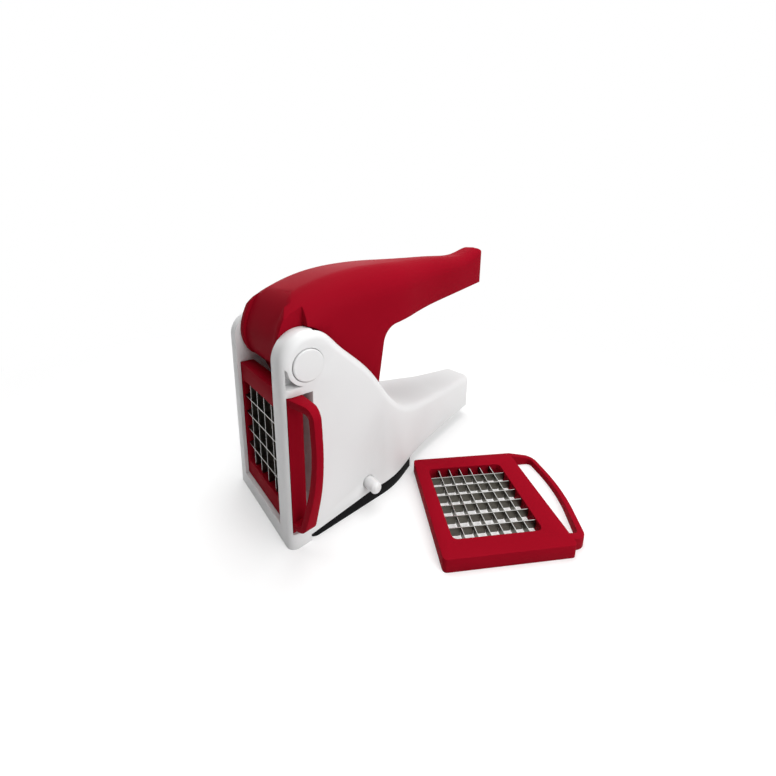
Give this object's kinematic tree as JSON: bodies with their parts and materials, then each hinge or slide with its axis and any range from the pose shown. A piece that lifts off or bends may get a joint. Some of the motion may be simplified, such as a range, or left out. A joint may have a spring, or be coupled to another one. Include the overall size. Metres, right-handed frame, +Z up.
{
  "type": "potato slicer",
  "caption": "Lever-operated potato slicer: hinged handle swings a pusher against a slide-in blade grid, suction foot, spare blade cartridge alongside.",
  "frame": {"origin": "on the table, under the centre of the suction cup", "axes": "+X runs back along the handles, +Z up, -Y is the side with the cartridge loop and the suction knob"},
  "size_m": [0.263, 0.2299, 0.2016],
  "materials": {
    "white_plastic": "smooth moulded white",
    "red_plastic": "smooth moulded crimson",
    "black_rubber": "matt black rubber",
    "blade_steel": "ground stainless strip",
    "pin_steel": "turned steel",
    "bearing_plastic": "plain natural plastic"
  },
  "bodies": {
    "body": {"housing": "white_plastic", "base_plate": "white_plastic", "base_plate_screws": "pin_steel", "suction_pad": "black_rubber", "suction_cup": "black_rubber", "pivot_shaft": "pin_steel", "pivot_cap_near": "white_plastic", "pivot_cap_far": "white_plastic"},
    "lever": {"lever_shell": "red_plastic", "hub_bush_near": "bearing_plastic", "hub_bush_far": "bearing_plastic", "pusher_block": "red_plastic", "pusher_screws": "pin_steel"},
    "cutter": {"cutter_frame": "red_plastic", "cutter_retainer": "red_plastic", "cutter_upright_blades": "blade_steel", "cutter_cross_blades": "blade_steel"},
    "spare": {"spare_frame": "red_plastic", "spare_retainer": "red_plastic", "spare_upright_blades": "blade_steel", "spare_cross_blades": "blade_steel"},
    "knob": {"suction_knob": "white_plastic", "cam_shaft": "pin_steel", "lift_cam": "bearing_plastic", "shaft_clip": "pin_steel"},
    "stud": {"lift_stud": "bearing_plastic"}
  },
  "joints": [
    {"name": "lever_hinge", "type": "hinge", "parent": "body", "child": "lever", "pos_m": [-0.048, 0, 0.13], "axis": [0, 1, 0], "range_deg": [-45, 20]},
    {"name": "cutter_slide", "type": "slide", "parent": "body", "child": "cutter", "axis": [0, -1, 0], "range_m": [0, 0.1]},
    {"name": "spare_lift", "type": "slide", "parent": "body", "child": "spare", "axis": [0, 0, 1], "range_m": [0, 0.08]},
    {"name": "knob_turn", "type": "hinge", "parent": "body", "child": "knob", "pos_m": [0, 0, 0.021], "axis": [0, 1, 0], "range_deg": [0, 90]},
    {"name": "stud_lift", "type": "slide", "parent": "body", "child": "stud", "axis": [0, 0, 1], "range_m": [0, 0.0024], "deforming": ["suction_cup"]}
  ],
  "couplings": [
    {"joint": "knob_turn", "follows": "stud_lift", "rad_per_m": 654.49}
  ]
}
